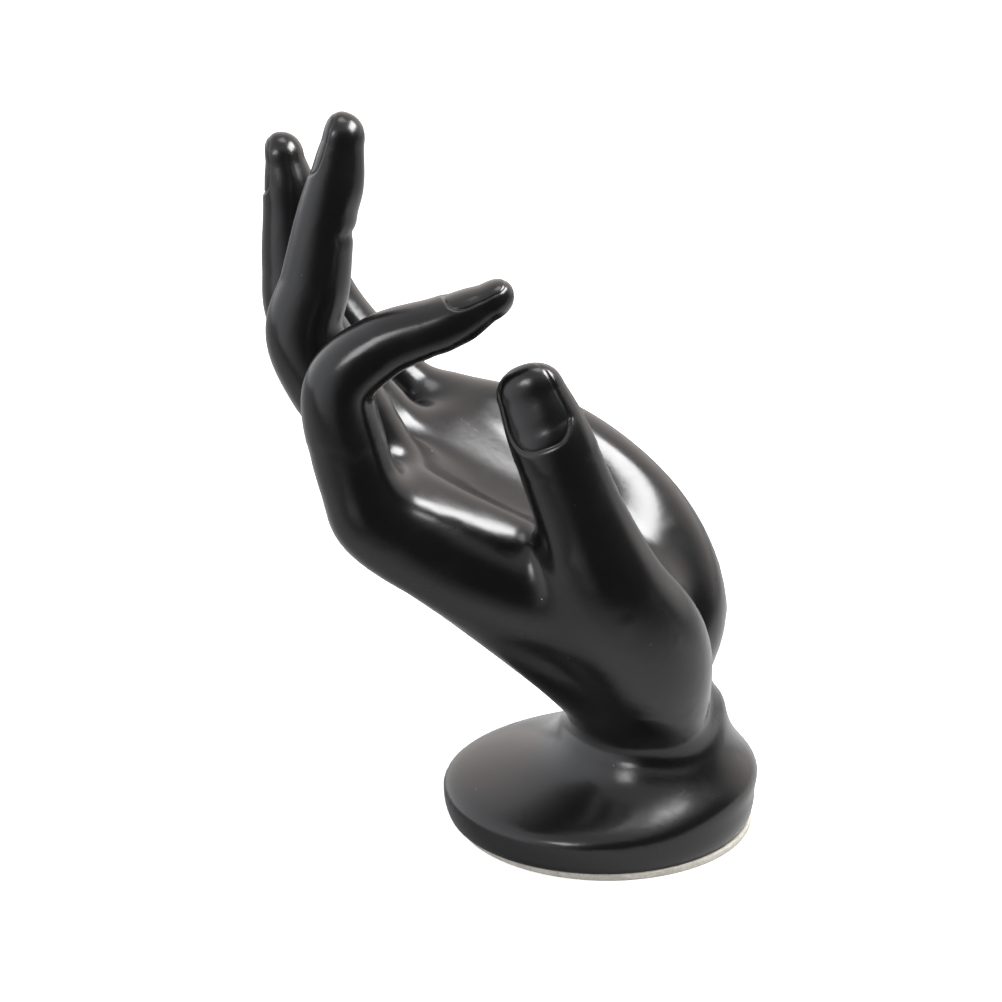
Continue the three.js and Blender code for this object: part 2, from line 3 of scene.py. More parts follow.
import bmesh
import bpy
import numpy as np
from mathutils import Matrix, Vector


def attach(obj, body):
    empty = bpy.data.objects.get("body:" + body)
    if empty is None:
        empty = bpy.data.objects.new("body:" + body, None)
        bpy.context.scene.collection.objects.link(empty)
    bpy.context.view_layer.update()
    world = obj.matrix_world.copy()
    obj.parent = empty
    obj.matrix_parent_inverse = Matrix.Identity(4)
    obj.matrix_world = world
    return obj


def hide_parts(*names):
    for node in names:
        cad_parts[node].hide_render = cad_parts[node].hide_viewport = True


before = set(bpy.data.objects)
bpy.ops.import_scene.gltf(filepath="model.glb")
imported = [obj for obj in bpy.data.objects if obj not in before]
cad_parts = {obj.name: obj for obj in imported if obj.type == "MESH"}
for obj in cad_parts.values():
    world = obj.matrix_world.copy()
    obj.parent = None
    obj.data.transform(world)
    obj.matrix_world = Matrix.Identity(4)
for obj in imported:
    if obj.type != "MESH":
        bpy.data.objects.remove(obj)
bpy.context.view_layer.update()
scene = bpy.context.scene
scene.view_settings.view_transform = "Standard"
mm = 0.001
farAway = 14            # distances past this are all the same
limbReach = 11          # how far past its sections a limb is worked out
marksPerSpan = 6

# the hand's bones, sections and pads, in millimetres and degrees
handSizes = {
    "fingers": {
        "index": {"knuckle": (-48.6, -21.4, 80.5), "bones": (30.2, 23.5, 17.9), "pitch": (77.5, 145.5, 154),
                  "splay": (-6, -1, 5), "bow": (1.7, 2.5), "girth": 0.98, "plump": 0.97, "fold": 0.2},
        "middle": {"knuckle": (-45.8, -2, 79.5), "bones": (38, 26, 23.8), "pitch": (61.5, 99.5, 102),
                   "splay": (0, 2, 3), "bow": (0.4, 0), "girth": 1, "plump": 1.14, "fold": 1},
        "ring": {"knuckle": (-41.8, 15.8, 79.1), "bones": (39.6, 23.6, 17.6), "pitch": (53.5, 83.2, 83.2),
                 "splay": (4, 5, 5), "bow": (1.7, 0.8), "girth": 0.95, "plump": 1.1, "fold": 0.7},
        "little": {"knuckle": (-35.7, 33.2, 82.3), "bones": (29, 19.8, 14.6), "pitch": (46, 67, 76),
                   "splay": (6, 6, 5), "bow": (0.8, 1.4), "girth": 0.83, "plump": 1, "fold": 0.7},
    },
    # half sizes from root to tip: across, to the back, to the pad
    "fingerSections": [(9, 8.6, 8.6), (9.4, 8.9, 8.5), (8.6, 8.7, 8.4), (8.4, 8, 7.6),
                       (7.4, 6.9, 7), (6.8, 5.8, 6.1), (6.6, 4.9, 6.3), (5.4, 3.6, 4.8)],
    "thumb": {"knuckle": (11.2, -9, 28.8), "bones": (39.7, 34.6, 19.6), "pitch": (74, 70, 67.5),
              "splay": (-22, -6, 6), "ballShift": 3, "side": (1, -0.15, 0.3)},
    "thumbSections": [(12.4, 12.6, 11), (14.2, 14, 12), (12.3, 12, 11), (9.7, 9.4, 9),
                      (8.8, 7.8, 7.8), (8.3, 6.7, 6.8), (7.3, 5, 5.6)],
    "palmRays": {"index": {"wrist": (4.4, -8, 33.4), "girth": (9.8, 11, 10.8, 8.6), "arch": 1.8},
                 "middle": {"wrist": (4.4, 0, 30.5), "girth": (11, 9.8, 8.9, 8.9), "arch": 0},
                 "ring": {"wrist": (6.8, 6, 31), "girth": (11, 10.4, 9.2, 8.8), "arch": 0}},
    "palmLean": 25, "padRoll": {"middle": 8, "far": 28, "thumb": 26},
    # heel and pads from the wrist on: centre, then half sizes across, to the back and to the palm
    "heel": [((11, 5, 31.8), (14.6, 13.6, 12.2)), ((14.6, 14, 45), (14, 13, 14)),
             ((7.6, 21.8, 62), (12.6, 12, 12.6)), ((-10.5, 28.8, 77.1), (10.8, 10, 10.8)),
             ((-33, 33.2, 84.4), (8.8, 8.2, 8.2))],
    "palmPads": {
        "middle": [((4, 4, 57), (16, 2, 9)), ((-14, 5, 66), (17, 2, 9)), ((-31, 5, 73), (16, 2, 9))],
        "far": [((2, 14, 63), (12, 2, 9)), ((-15, 17.5, 73), (13, 2, 9)), ((-31, 18, 79), (12, 2, 8.5))],
        "thumb": [((-6, -15.5, 59), (14, 9, 11)), ((-24, -16, 67), (14, 9, 11.5)),
                  ((-41, -15, 75.5), (13, 9, 10.5))],
    },
    "fingertipCap": 6.2, "thumbtipCap": 6.2, "rootInset": 9, "palmYaw": 8,
    "palmBlend": 5, "fingerRootBlend": 4, "fingerSideBlend": 0.8, "thumbBlend": 7, "sectionPower": 2.2,
    "webEnd": 0.94, "webGirth": 0.95, "webRows": 5,
    # fold across the pad of a fingertip, and the roll of skin past it
    "crease": {"at": 5, "shift": -1.5, "depth": 0.5, "width": 1.2, "from": 1.9, "fade": 0.8,
               "roll": 0.2, "rollAt": 2.6, "rollWidth": 1.7},
    # cup of the palm: lowest point, half sizes along, across and out of the palm, and how soft its rim is
    "cup": {"bottom": (-14, -2, 72.5), "half": (60, 90, 30), "nearHalf": 20, "farRise": 0.36, "riseTurn": 5,
            "rim": 6},
    "pitch": 1.04,          # grid the skin is wrapped on
    "skinLow": (-78.0, -41.0), "skinBelow": 2.1, "skinHigh": (39.0, 48.0, 164.0), "settlePasses": 2,
    "nailMargins": (2.2, 1.3, 0.75), "nailSettle": 4, "nailPasses": 3,
    "ease": {"from": 36, "to": 96, "kink": 0.004, "rings": 3, "passes": 12, "share": 0.5},
}


def unit(vectors):
    vectors = np.asarray(vectors, float)
    return vectors / np.linalg.norm(vectors, axis=-1, keepdims=True)


def softUnion(a, b, reach):
    share = np.clip(0.5 + 0.5 * (b - a) / reach, 0, 1)
    return b * (1 - share) + a * share - reach * share * (1 - share)


def smooth(low, high, value):
    share = np.clip((value - low) / (high - low), 0, 1)
    return share * share * (3 - 2 * share)


def hump(value, width):
    return np.exp(-(value / width) ** 2)


def boneDirection(pitch, splay):
    up, out = np.radians(pitch), np.radians(splay)
    return np.array([-np.cos(up) * np.cos(out), np.sin(out), np.sin(up) * np.cos(out)])


class Limb:
    # a smooth centre line with a rounded section that changes along it
    def __init__(self, line, sections, sideAxis, endCap, nail=None, creases=()):
        line = np.asarray(line, float)
        ends = lambda rows: np.vstack([2 * rows[0] - rows[1], rows, 2 * rows[-1] - rows[-2]])
        self.rows = np.hstack([ends(line), ends(np.asarray(sections, float))])
        self.spans = len(line) - 1
        self.sideAxis = np.asarray(sideAxis, float)
        self.caps = (max(sections[0][:2]), endCap)
        self.nail, self.creases = nail, creases
        self.marks = np.linspace(0, self.spans, self.spans * marksPerSpan + 1)
        self.trail = self.curve(self.marks)[0][:, :3]
        self.lengths = np.concatenate([[0], np.cumsum(np.linalg.norm(np.diff(self.trail, axis=0), axis=1))])
        self.reach = float(np.max(sections)) + limbReach

    def curve(self, u):
        span = np.clip(u.astype(int), 0, self.spans - 1)
        t = (u - span)[:, None]
        p0, p1, p2, p3 = (self.rows[span + k] for k in range(4))
        a, b, c = p2 - p0, 2 * p0 - 5 * p1 + 4 * p2 - p3, 3 * p1 - p0 - 3 * p2 + p3
        return p1 + 0.5 * t * (a + t * (b + t * c)), 0.5 * (a + t * (2 * b + 3 * t * c)), b + 3 * t * c

    def nearest(self, points, u):
        for _ in range(4):      # settle on the true curve
            at, slope, bend = (rows[:, :3] for rows in self.curve(u))
            offset = at - points
            steep = (slope * slope).sum(1)
            turn = np.maximum(steep + (offset * bend).sum(1), 0.3 * steep)
            u = np.clip(u - np.clip((offset * slope).sum(1) / turn, -0.15, 0.15), 0, self.spans)
        return u

    def local(self, points, u):
        # place along the limb, section there, and the point's shares of that section
        u = self.nearest(points, u)
        rows, slopes, _ = self.curve(u)
        tangent = unit(slopes[:, :3])
        side = unit(self.sideAxis - (tangent @ self.sideAxis)[:, None] * tangent)
        offset = points - rows[:, :3]
        across, up, beyond = ((offset * axis).sum(1) for axis in (side, np.cross(side, tangent), tangent))
        half = rows[:, 3:]
        rise = up / np.where(up > 0, half[:, 1], half[:, 2])
        return u, half, np.linalg.norm(offset, axis=1), across / half[:, 0], rise, beyond

    def distance(self, points, u):
        u, half, length, lean, rise, beyond = self.local(points, u)
        power = handSizes["sectionPower"]
        cap = np.where(u < self.spans / 2, *self.caps)
        total = np.abs(lean) ** power + np.abs(rise) ** power + np.abs(beyond / cap) ** power
        share = total ** (1 / power) + 1e-9
        out = np.where(share < 1e-6, -half[:, 2], length - length / share)
        if self.nail or self.creases:
            out = out - self.relief(lean, rise, np.interp(u, self.marks, self.lengths), beyond)
        return np.minimum(farAway, out)

    def nailEdge(self, lean, rise, run, beyond):
        # distance outside the outline of the nail, and how far towards its root
        n = self.nail
        wide, long = n["wide"] / 2, n["long"] / 2
        girth = np.hypot(lean, rise)
        close = girth / (np.hypot(girth, beyond / self.caps[1]) + 1e-9)
        x = (np.arctan2(lean, rise) - n["roll"]) * close * n["round"]
        y = self.lengths[-1] + self.caps[1] - run - beyond - n["tipGap"] - long
        power = np.where(y > 0, n["cuticleSquare"], n["tipSquare"])
        share = (np.abs(x / wide) ** power + np.abs(y / long) ** power) ** (1 / power)
        return (share - 1) * min(wide, long), y / long

    def relief(self, lean, rise, run, beyond):
        out = np.zeros(len(lean))
        turn = np.arctan2(lean, rise)       # 0 on the back of the digit
        for crease in self.creases:         # folds across the pad side
            place = np.interp(crease["at"], self.marks, self.lengths) + crease["shift"]
            facing = smooth(crease["from"], crease["from"] + crease["fade"], np.abs(turn))
            out -= crease["depth"] * hump(run - place, crease["width"]) * facing
            out += crease["roll"] * hump(run - place - crease["rollAt"], crease["rollWidth"]) * facing
        if self.nail:
            n = self.nail
            edge, toRoot = self.nailEdge(lean, rise, run, beyond)
            atRoot, atTip = smooth(*n["rootFade"], toRoot), smooth(*n["tipFade"], -toRoot)
            sunk = n["sunk"] * (n["sideShare"] + n["rootShare"] * atRoot) * (1 - atTip) - n["free"] * atTip
            groove = n["groove"] * hump(edge, n["grooveWidth"]) * (1 - atTip)
            fold = n["fold"] * hump(edge - n["rim"], n["rimWidth"]) * (1 - atRoot) * (1 - atTip)
            plate = sunk * smooth(n["step"], -n["step"], edge)
            out += smooth(*n["backFade"], rise) * (fold - plate - groove)
        return out

    def field(self, points):
        out = np.full(len(points), float(farAway))
        low, high = self.trail.min(0) - self.reach, self.trail.max(0) + self.reach
        near = np.nonzero(((points > low) & (points < high)).all(1))[0]
        if not len(near):
            return out
        p = points[near]
        gaps = (p * p).sum(1)[:, None] - 2 * p @ self.trail.T + (self.trail ** 2).sum(1)
        first = gaps.argmin(1)
        close = gaps[np.arange(len(p)), first] < self.reach ** 2
        out[near[close]] = self.distance(p[close], self.marks[first[close]])
        return out


# nails: a plate in a groove, with a fold of skin at its sides and its root
nailSizes = {
    "thumb": {"long": 17.6, "wide": 14.4, "round": 7.6, "roll": 0, "tipGap": -0.8},
    "index": {"long": 12.6, "wide": 11.8, "round": 5.9, "roll": 0.24},
    "middle": {"long": 13.2, "wide": 11.8, "round": 6.0, "roll": 0.1},
    "ring": {"long": 11.6, "wide": 11.2, "round": 5.7, "roll": 0.1},
    "little": {"long": 9.6, "wide": 9.6, "round": 5.0, "roll": 0},
}
for nail in nailSizes.values():
    nail.setdefault("tipGap", 0.9)
    nail.update(cuticleSquare=3.4, tipSquare=2.6, sunk=0.34, sideShare=0.45, rootShare=0.55, free=0.16,
                step=0.2, fold=0.1, rim=0.6, rimWidth=0.9, groove=0.26, grooveWidth=0.3,
                rootFade=(0.2, 0.9), tipFade=(0.3, 0.95), backFade=(-0.25, 0.05))


palmLean = np.radians(handSizes["palmLean"])
palmOut = np.array([np.sin(palmLean), 0, np.cos(palmLean)])


def handLimbs():
    h = handSizes
    yaw = np.radians(h["palmYaw"])
    palmSide = unit([-np.sin(yaw), -1, 0])
    thumbSide = unit(h["thumb"]["side"])
    joints = lambda d: np.vstack([d["knuckle"], np.asarray(d["knuckle"]) + np.cumsum(
        [bone * boneDirection(p, s) for bone, p, s in zip(d["bones"], d["pitch"], d["splay"])], axis=0)])
    wristEnds = {name: ray["wrist"] for name, ray in h["palmRays"].items()}
    wristEnds["little"] = h["heel"][2][0]
    made = {}
    for name, d in h["fingers"].items():
        knuckle, middle, end, tip = joints(d)
        cap = h["fingertipCap"] * d["girth"]
        backs = [np.cross(palmSide, boneDirection(d["pitch"][k], d["splay"][k])) for k in (0, 1)]
        capStart = tip - cap * boneDirection(d["pitch"][2], d["splay"][2])
        line = [knuckle + h["rootInset"] * unit(np.asarray(wristEnds[name]) - knuckle), knuckle,
                (knuckle + middle) / 2 + d["bow"][0] * backs[0], middle,
                (middle + end) / 2 + d["bow"][1] * backs[1], end, (end + capStart) / 2, capStart]
        creases = [{**h["crease"], "depth": h["crease"]["depth"] * d["fold"]}]
        sections = d["girth"] * np.array(h["fingerSections"]) * (1, 1, d["plump"])
        made[name] = Limb(line, sections, palmSide, cap, nailSizes[name], creases)
    d = h["thumb"]
    root, knuckle, end, tip = joints(d)
    capStart = tip - h["thumbtipCap"] * boneDirection(d["pitch"][2], d["splay"][2])
    line = [root, (root + knuckle) / 2 + d["ballShift"] * thumbSide, knuckle, (knuckle + end) / 2, end,
            (end + capStart) / 2, capStart]
    made["thumb"] = Limb(line, h["thumbSections"], thumbSide, h["thumbtipCap"], nailSizes["thumb"])
    for name, ray in h["palmRays"].items():
        share = np.linspace(0, 1, len(ray["girth"]))[:, None]
        line = (1 - share) * ray["wrist"] + share * h["fingers"][name]["knuckle"]
        line = line + ray["arch"] * np.sin(np.pi * share) * palmOut
        made[name + "Ray"] = Limb(line, [(g, g, g) for g in ray["girth"]], palmSide, ray["girth"][-1])
    flesh = lambda forms, side: Limb(*zip(*forms), side, forms[-1][1][0])
    made["heel"] = flesh(h["heel"], palmSide)
    for name, forms in h["palmPads"].items():
        made[name + "Pad"] = flesh(forms, unit(palmSide - (0, 0, np.tan(np.radians(h["padRoll"][name])))))
    for first, second in (("indexRay", "middleRay"), ("middleRay", "ringRay"), ("ringRay", "heel")):
        pair = [made[first], made[second]]      # flesh between two rays, halfway along both
        share = np.linspace(0, h["webEnd"], h["webRows"])
        rows = sum(limb.curve(share * limb.spans)[0] for limb in pair) / 2
        sections = rows[:, 3:] * h["webGirth"]
        made[first + "Web"] = Limb(rows[:, :3], sections, palmSide, sections[-1, 0])
    return made


limbs = handLimbs()


def cupField(points):
    cup = handSizes["cup"]
    axes = np.array([np.cross((0, 1, 0), palmOut), (0, 1, 0), palmOut])
    offset = (points - np.array(cup["bottom"]) - cup["half"][2] * palmOut) @ axes.T
    across = offset[:, 1].copy()
    # climbs to the far rim, and is steeper beside the thumb
    offset[:, 2] -= cup["farRise"] * (np.hypot(across, cup["riseTurn"]) + across) / 2
    length = np.linalg.norm(offset, axis=1)
    offset[:, 1] *= np.where(across < 0, cup["half"][1] / cup["nearHalf"], 1)
    share = np.linalg.norm(offset / cup["half"], axis=1) + 1e-9
    return np.clip(length - length / share, -farAway, farAway)


def handField(points):
    h = handSizes
    palm = np.full(len(points), float(farAway))
    for name in ("indexRay", "indexRayWeb", "middleRay", "middleRayWeb", "ringRay", "ringRayWeb",
                 "middlePad", "farPad", "thumbPad"):
        palm = softUnion(palm, limbs[name].field(points), h["palmBlend"])
    palm = -softUnion(-palm, cupField(points), h["cup"]["rim"])
    palm = softUnion(palm, limbs["heel"].field(points), h["palmBlend"])
    spread = np.full(len(points), float(farAway))
    for name in h["fingers"]:
        spread = softUnion(spread, limbs[name].field(points), h["fingerSideBlend"])
    fingered = softUnion(palm, spread, h["fingerRootBlend"])
    return softUnion(fingered, limbs["thumb"].field(points), h["thumbBlend"])


# foot and wrist, in millimetres; the channel runs round under the hand
footSizes = {
    "bottom": 1.6, "radius": 34.9, "lowerRadius": 31.7, "bandHeight": 7, "flareReach": 7.8,
    "flarePower": 2.6, "wristHalfWidth": 16.2, "wristHalfDepth": 20.2, "wristOffset": 10.2,
    "wristLean": 2.4, "wristTop": 38, "dome": 12, "domeLeast": 0.04, "fieldReach": 44, "fieldAbove": 2,
    "blend": 1.2, "channelDepth": 0.5, "channelWidth": 3.2, "channelFade": (1.6, 1.2),
    # the hollow, and the recess for the board below it
    "wall": 4.5, "coreTop": 35, "mouthRadius": 23, "recessRadius": 26.3, "recessTop": 4.3,
    "coreSides": 96, "coreRings": 24, "corePower": 1.1,
}


def footOutline(z, inset=0.0):
    f = footSizes
    flare = 1 / (1 + (np.maximum(0, z - f["bandHeight"]) / f["flareReach"]) ** f["flarePower"])
    drop = np.clip((f["bandHeight"] - z) / f["bandHeight"], 0, 1)
    lip = f["lowerRadius"] + (f["radius"] - f["lowerRadius"]) * np.sqrt(np.maximum(1e-6, 1 - drop * drop))
    halves = [np.where(drop > 0, lip, slim + (f["radius"] - slim) * flare) - inset
              for slim in (f["wristHalfWidth"], f["wristHalfDepth"])]
    return f["wristOffset"] * (1 - flare ** f["wristLean"]), *halves


def rounding(z, top):
    over = np.clip((z - top + footSizes["dome"]) / footSizes["dome"], 0, 1)
    return np.sqrt(np.maximum(footSizes["domeLeast"], 1 - over * over))


def footShare(points):
    x, y, z = points.T
    centre, wide, deep = footOutline(z)
    shrink = rounding(z, footSizes["wristTop"])
    return np.sqrt(((x - centre) / wide) ** 2 + (y / deep) ** 2) / shrink - 1


def slopeOf(field, points, probe=0.03):
    corners = np.array([(1, -1, -1), (-1, -1, 1), (-1, 1, -1), (1, 1, 1)])
    values = [field(points + probe * corner) for corner in corners]
    return sum(v[:, None] * corner for v, corner in zip(values, corners)) / (4 * probe), sum(values) / 4


def footField(points):
    f = footSizes
    out = np.full(len(points), float(farAway))
    within = np.abs(points[:, :2]).max(1) < f["fieldReach"]
    near = within & (points[:, 2] < f["wristTop"] + f["fieldAbove"])
    p = points[near]
    slope, share = slopeOf(footShare, p)
    share = share / np.maximum(1e-3, np.linalg.norm(slope, axis=1))
    out[near] = np.clip(np.maximum(share, p[:, 2] - f["wristTop"]), -farAway, farAway)
    return out


def skinField(points):
    f = footSizes
    hand = handField(points)
    inner, outer = f["channelWidth"] - f["channelFade"][0], f["channelWidth"] + f["channelFade"][1]
    channel = f["channelDepth"] * (1 - smooth(inner, outer, hand))
    return softUnion(hand, footField(points) + channel, f["blend"])


def wrapSkin(field, low, high, pitch, block=4):
    # one point in each grid cell that the skin passes through, joined into quads
    counts = np.ceil((np.asarray(high) - low) / pitch).astype(int) // block * block + block + 1
    axes = [low[k] + pitch * np.arange(counts[k]) for k in range(3)]
    coarse = np.stack(np.meshgrid(*(a[::block] for a in axes), indexing="ij"), -1)
    rough = field(coarse.reshape(-1, 3)).reshape(coarse.shape[:3])
    near = np.abs(rough) < block * pitch * 1.5      # blocks of cells that the skin may pass through
    near = (near[:-1, :-1, :-1] | near[1:, :-1, :-1] | near[:-1, 1:, :-1]
            | near[:-1, :-1, 1:] | near[1:, 1:, 1:])
    spread = lambda a: a.repeat(block, 0).repeat(block, 1).repeat(block, 2)
    grow = lambda a: np.pad(spread(a), ((0, 1),) * 3, mode="edge")
    near = grow(near)
    for axis in range(3):
        later = tuple(slice(1, None) if k == axis else slice(None) for k in range(3))
        sooner = tuple(slice(None, -1) if k == axis else slice(None) for k in range(3))
        near[later] |= near[sooner].copy()
    values = grow(rough[:-1, :-1, :-1])
    i, j, k = np.nonzero(near)
    values[i, j, k] = field(np.stack([axes[0][i], axes[1][j], axes[2][k]], 1))
    inside = values < 0
    corner = np.array([(c & 1, c >> 1 & 1, c >> 2 & 1) for c in range(8)])
    total = sum(inside[tuple(slice(o, inside.shape[n] - 1 + o) for n, o in enumerate(c))].astype(np.int8)
                for c in corner)
    cells = np.stack(np.nonzero((total > 0) & (total < 8)), 1)
    number = np.full(total.shape, -1)
    number[tuple(cells.T)] = np.arange(len(cells))
    spot, crossings = np.zeros((len(cells), 3)), np.zeros((len(cells), 1))
    for a in range(8):
        for axis in range(3):
            b = a | 1 << axis
            if b == a:
                continue
            va, vb = values[tuple((cells + corner[a]).T)], values[tuple((cells + corner[b]).T)]
            cross = (va < 0) != (vb < 0)
            part = np.where(cross, va / np.where(cross, va - vb, 1), 0)[:, None]
            spot += cross[:, None] * (corner[a] + part * (corner[b] - corner[a]))
            crossings += cross[:, None]
    quads = []
    for axis in range(3):
        u, v = (axis + 1) % 3, (axis + 2) % 3
        first = inside[tuple(slice(None, -1) if n == axis else slice(1, -1) for n in range(3))]
        last = inside[tuple(slice(1, None) if n == axis else slice(1, -1) for n in range(3))]
        for starts in (True, False):
            edge = np.stack(np.nonzero((first == starts) & (last != starts)), 1)
            edge += np.array([0 if n == axis else 1 for n in range(3)])
            ring = [edge.copy() for _ in range(4)]
            for step, (du, dv) in enumerate([(0, 0), (1, 0), (1, 1), (0, 1)]):
                ring[step][:, u] -= du
                ring[step][:, v] -= dv
            quad = np.stack([number[tuple(r.T)] for r in ring], 1)
            quads.append(quad if starts else quad[:, ::-1])
    return low + pitch * (cells + spot / crossings), np.vstack(quads)


def settle(field, spots, pitch, passes):
    for _ in range(passes):
        slope, value = slopeOf(field, spots)
        step = -(value / np.maximum(0.25, (slope ** 2).sum(1)))[:, None] * slope
        long = np.linalg.norm(step, axis=1, keepdims=True)
        spots = spots + step * np.minimum(1, pitch / 2 / np.maximum(1e-9, long))
    return spots


def easeKinks(spots, quads):
    # softens points that stand out from their neighbours, where the limbs of the palm run together
    e = handSizes["ease"]
    start, end = np.vstack([quads[:, [k, (k + 1) % 4]] for k in range(4)]).T
    count = np.bincount(start, minlength=len(spots))
    around = lambda values: np.bincount(start, values[end], len(spots)) / np.maximum(1, count)
    middle = lambda: np.stack([around(spots[:, k]) for k in range(3)], 1)
    normal = unit(slopeOf(skinField, spots)[0])
    lift = ((middle() - spots) * normal).sum(1)
    odd = (np.abs(lift - around(lift)) > e["kink"]) & (spots[:, 2] > e["from"]) & (spots[:, 2] < e["to"])
    print("eased", odd.sum(), "points of the palm")
    for _ in range(e["rings"]):
        odd |= around(odd.astype(float)) > 0
    for _ in range(e["passes"]):
        spots[odd] += e["share"] * (middle() - spots)[odd]
    return spots


def nailZone(spots, margin, reach=12, lowest=-0.3):
    # points on the skin that lie near the outline of a nail
    marks = 2 * marksPerSpan + 1
    zone = np.zeros(len(spots), bool)
    for name in nailSizes:
        limb = limbs[name]
        gaps = np.linalg.norm(spots[:, None] - limb.trail[None, -marks:], axis=2)
        near = np.nonzero(gaps.min(1) < reach)[0]
        u, _, _, lean, rise, beyond = limb.local(spots[near], limb.marks[-marks + gaps[near].argmin(1)])
        edge, _ = limb.nailEdge(lean, rise, np.interp(u, limb.marks, limb.lengths), beyond)
        zone[near[(np.abs(edge) < margin) & (rise > lowest)]] = True
    return zone


def newPiece(name, mesh, body="root", node=None):
    piece = bpy.data.objects.new(name, mesh)
    scene.collection.objects.link(piece)
    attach(piece, body)
    if node:
        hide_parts(node)
    return piece


def coreRings():
    # recess for the closing board, then the hollow above it, from the underside up
    f = footSizes
    sides, steps = f["coreSides"], f["coreRings"]
    turn = np.linspace(0, 2 * np.pi, sides, endpoint=False)
    circle = np.stack([np.cos(turn), np.sin(turn)], 1)
    rings = [np.column_stack([f["recessRadius"] * circle, np.full(sides, f["bottom"])]),
             np.column_stack([f["recessRadius"] * circle, np.full(sides, f["recessTop"])])]
    for step in range(steps):
        z = f["recessTop"] + (f["coreTop"] - f["recessTop"]) * (step / (steps - 1)) ** f["corePower"]
        centre, wide, deep = footOutline(np.array(z + f["wall"]), f["wall"])
        shrink = rounding(z, f["coreTop"])
        wide, deep = (shrink * min(float(half), f["mouthRadius"]) for half in (wide, deep))
        x, y = float(centre) + wide * circle[:, 0], deep * circle[:, 1]
        rings.append(np.column_stack([x, y, np.full(sides, z)]))
    return rings


def buildHand():
    h, f = handSizes, footSizes
    low = np.array([*h["skinLow"], f["bottom"] - h["skinBelow"]])
    spots, quads = wrapSkin(skinField, low, np.array(h["skinHigh"]), h["pitch"])
    spots = settle(skinField, spots, h["pitch"], h["settlePasses"])
    spots = easeKinks(spots, quads)
    mesh = bpy.data.meshes.new("handSkin")
    mesh.from_pydata(spots.tolist(), [], quads.tolist())
    bm = bmesh.new()
    bm.from_mesh(mesh)
    for margin in h["nailMargins"]:      # finer skin towards the edges of the nails
        bm.verts.ensure_lookup_table()
        zone = nailZone(np.array([v.co for v in bm.verts]), margin)
        edges = {e for face in bm.faces if all(zone[v.index] for v in face.verts) for e in face.edges}
        bmesh.ops.subdivide_edges(bm, edges=list(edges), cuts=1, use_grid_fill=True)
        bm.verts.index_update()
    spots = np.array([v.co for v in bm.verts])
    zone = nailZone(spots, h["nailSettle"])
    spots[zone] = settle(skinField, spots[zone], h["pitch"] / 2, h["nailPasses"])
    for vert, spot in zip(bm.verts, spots):
        vert.co = spot
    geometry = bm.verts[:] + bm.edges[:] + bm.faces[:]
    cut = bmesh.ops.bisect_plane(bm, geom=geometry, plane_co=(0, 0, f["bottom"]), plane_no=(0, 0, 1),
                                 clear_inner=True)
    rim = [e for e in cut["geom_cut"] if isinstance(e, bmesh.types.BMEdge)]
    rings = [[bm.verts.new(p) for p in ring] for ring in coreRings()]
    sides = len(rings[0])
    for lower, upper in zip(rings, rings[1:]):
        for k in range(sides):
            bm.faces.new((lower[k], upper[k], upper[(k + 1) % sides], lower[(k + 1) % sides]))
    bm.faces.new(rings[-1][::-1])
    mouth = [bm.edges.get((rings[0][k], rings[0][(k + 1) % sides])) for k in range(sides)]
    bmesh.ops.bridge_loops(bm, edges=rim + mouth)
    bmesh.ops.recalc_face_normals(bm, faces=bm.faces[:])
    bmesh.ops.scale(bm, vec=(mm, mm, mm), verts=bm.verts[:])
    for face in bm.faces:
        face.smooth = True
    bm.to_mesh(mesh)
    bm.free()
    print("hand skin:", len(mesh.vertices), "points,", len(mesh.polygons), "faces")
    return newPiece("hand_skin", mesh, node="hand_casting")


# felt pad under the foot, in millimetres
padSizes = {"radius": 33.3, "thickness": 1.6, "edge": 0.35, "edgeSteps": 5, "inner": 0.5, "ripple": 0.12,
            "waves": (5, 9, 17, 31), "ripplePower": 4, "sides": 180, "shift": (1.1, -0.7)}


def buildPad():
    p = padSizes
    turn = np.linspace(0, 2 * np.pi, p["sides"], endpoint=False)
    wave = sum(np.sin(k * turn + k * k) / k for k in p["waves"]) * p["ripple"]
    profile = [(0.0, 0.0), (p["radius"] * p["inner"], 0.0), (p["radius"] - p["edge"], 0.0)]
    profile += [(p["radius"] - p["edge"] * (1 - math.cos(a)), p["edge"] * (1 - math.sin(a)))
                for a in np.linspace(math.pi / 2, 0, p["edgeSteps"])][1:]
    top = p["thickness"]
    profile += [(r, top - z) for r, z in profile[:0:-1]]
    bm = bmesh.new()
    bottom = bm.verts.new((0, 0, 0))
    rings = []
    for radius, z in profile[1:]:
        reach = radius - wave * (radius / p["radius"]) ** p["ripplePower"] - p["ripple"]
        rings.append([bm.verts.new((r * math.cos(a) * mm, r * math.sin(a) * mm, z * mm))
                      for r, a in zip(reach, turn)])
    lid = bm.verts.new((0, 0, top * mm))
    count = p["sides"]
    for k in range(count):
        n = (k + 1) % count
        bm.faces.new((bottom, rings[0][n], rings[0][k]))
        bm.faces.new((lid, rings[-1][k], rings[-1][n]))
        for lower, upper in zip(rings, rings[1:]):
            bm.faces.new((lower[k], lower[n], upper[n], upper[k]))
    bmesh.ops.recalc_face_normals(bm, faces=bm.faces[:])
    bmesh.ops.translate(bm, vec=(p["shift"][0] * mm, p["shift"][1] * mm, 0), verts=bm.verts[:])
    mesh = bpy.data.meshes.new("feltPad")
    for face in bm.faces:
        face.smooth = True
    bm.to_mesh(mesh)
    bm.free()
    return newPiece("felt_pad", mesh, node="base_pad")


